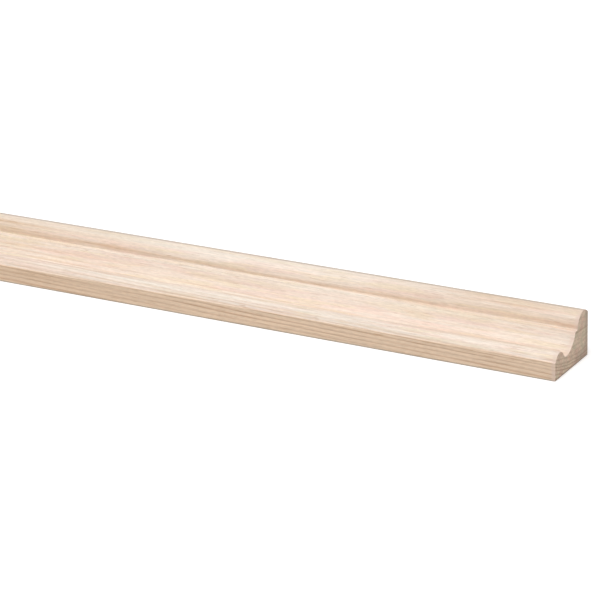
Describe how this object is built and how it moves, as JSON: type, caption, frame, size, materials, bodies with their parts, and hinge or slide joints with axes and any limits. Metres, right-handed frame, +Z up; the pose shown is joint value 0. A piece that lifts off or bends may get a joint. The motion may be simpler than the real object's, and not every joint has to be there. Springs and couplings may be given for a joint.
{
  "type": "pine moulding",
  "caption": "Straight length of unfinished pine trim moulding with a rounded nose, a cove and a raised bead along its back edge.",
  "frame": {"origin": "middle of the bottom face, half way along the length", "axes": "+X along the length, -Y towards the low front with the rounded nose, +Y towards the flat back, +Z up from the flat bottom to the bead"},
  "size_m": [2.4, 0.027, 0.0176],
  "materials": {
    "pine": "planed, unfinished, matt, pale straw with slightly darker straight grain, end grain greyer and rougher"
  },
  "bodies": {
    "root": {"moulding": "pine"}
  },
  "joints": []
}
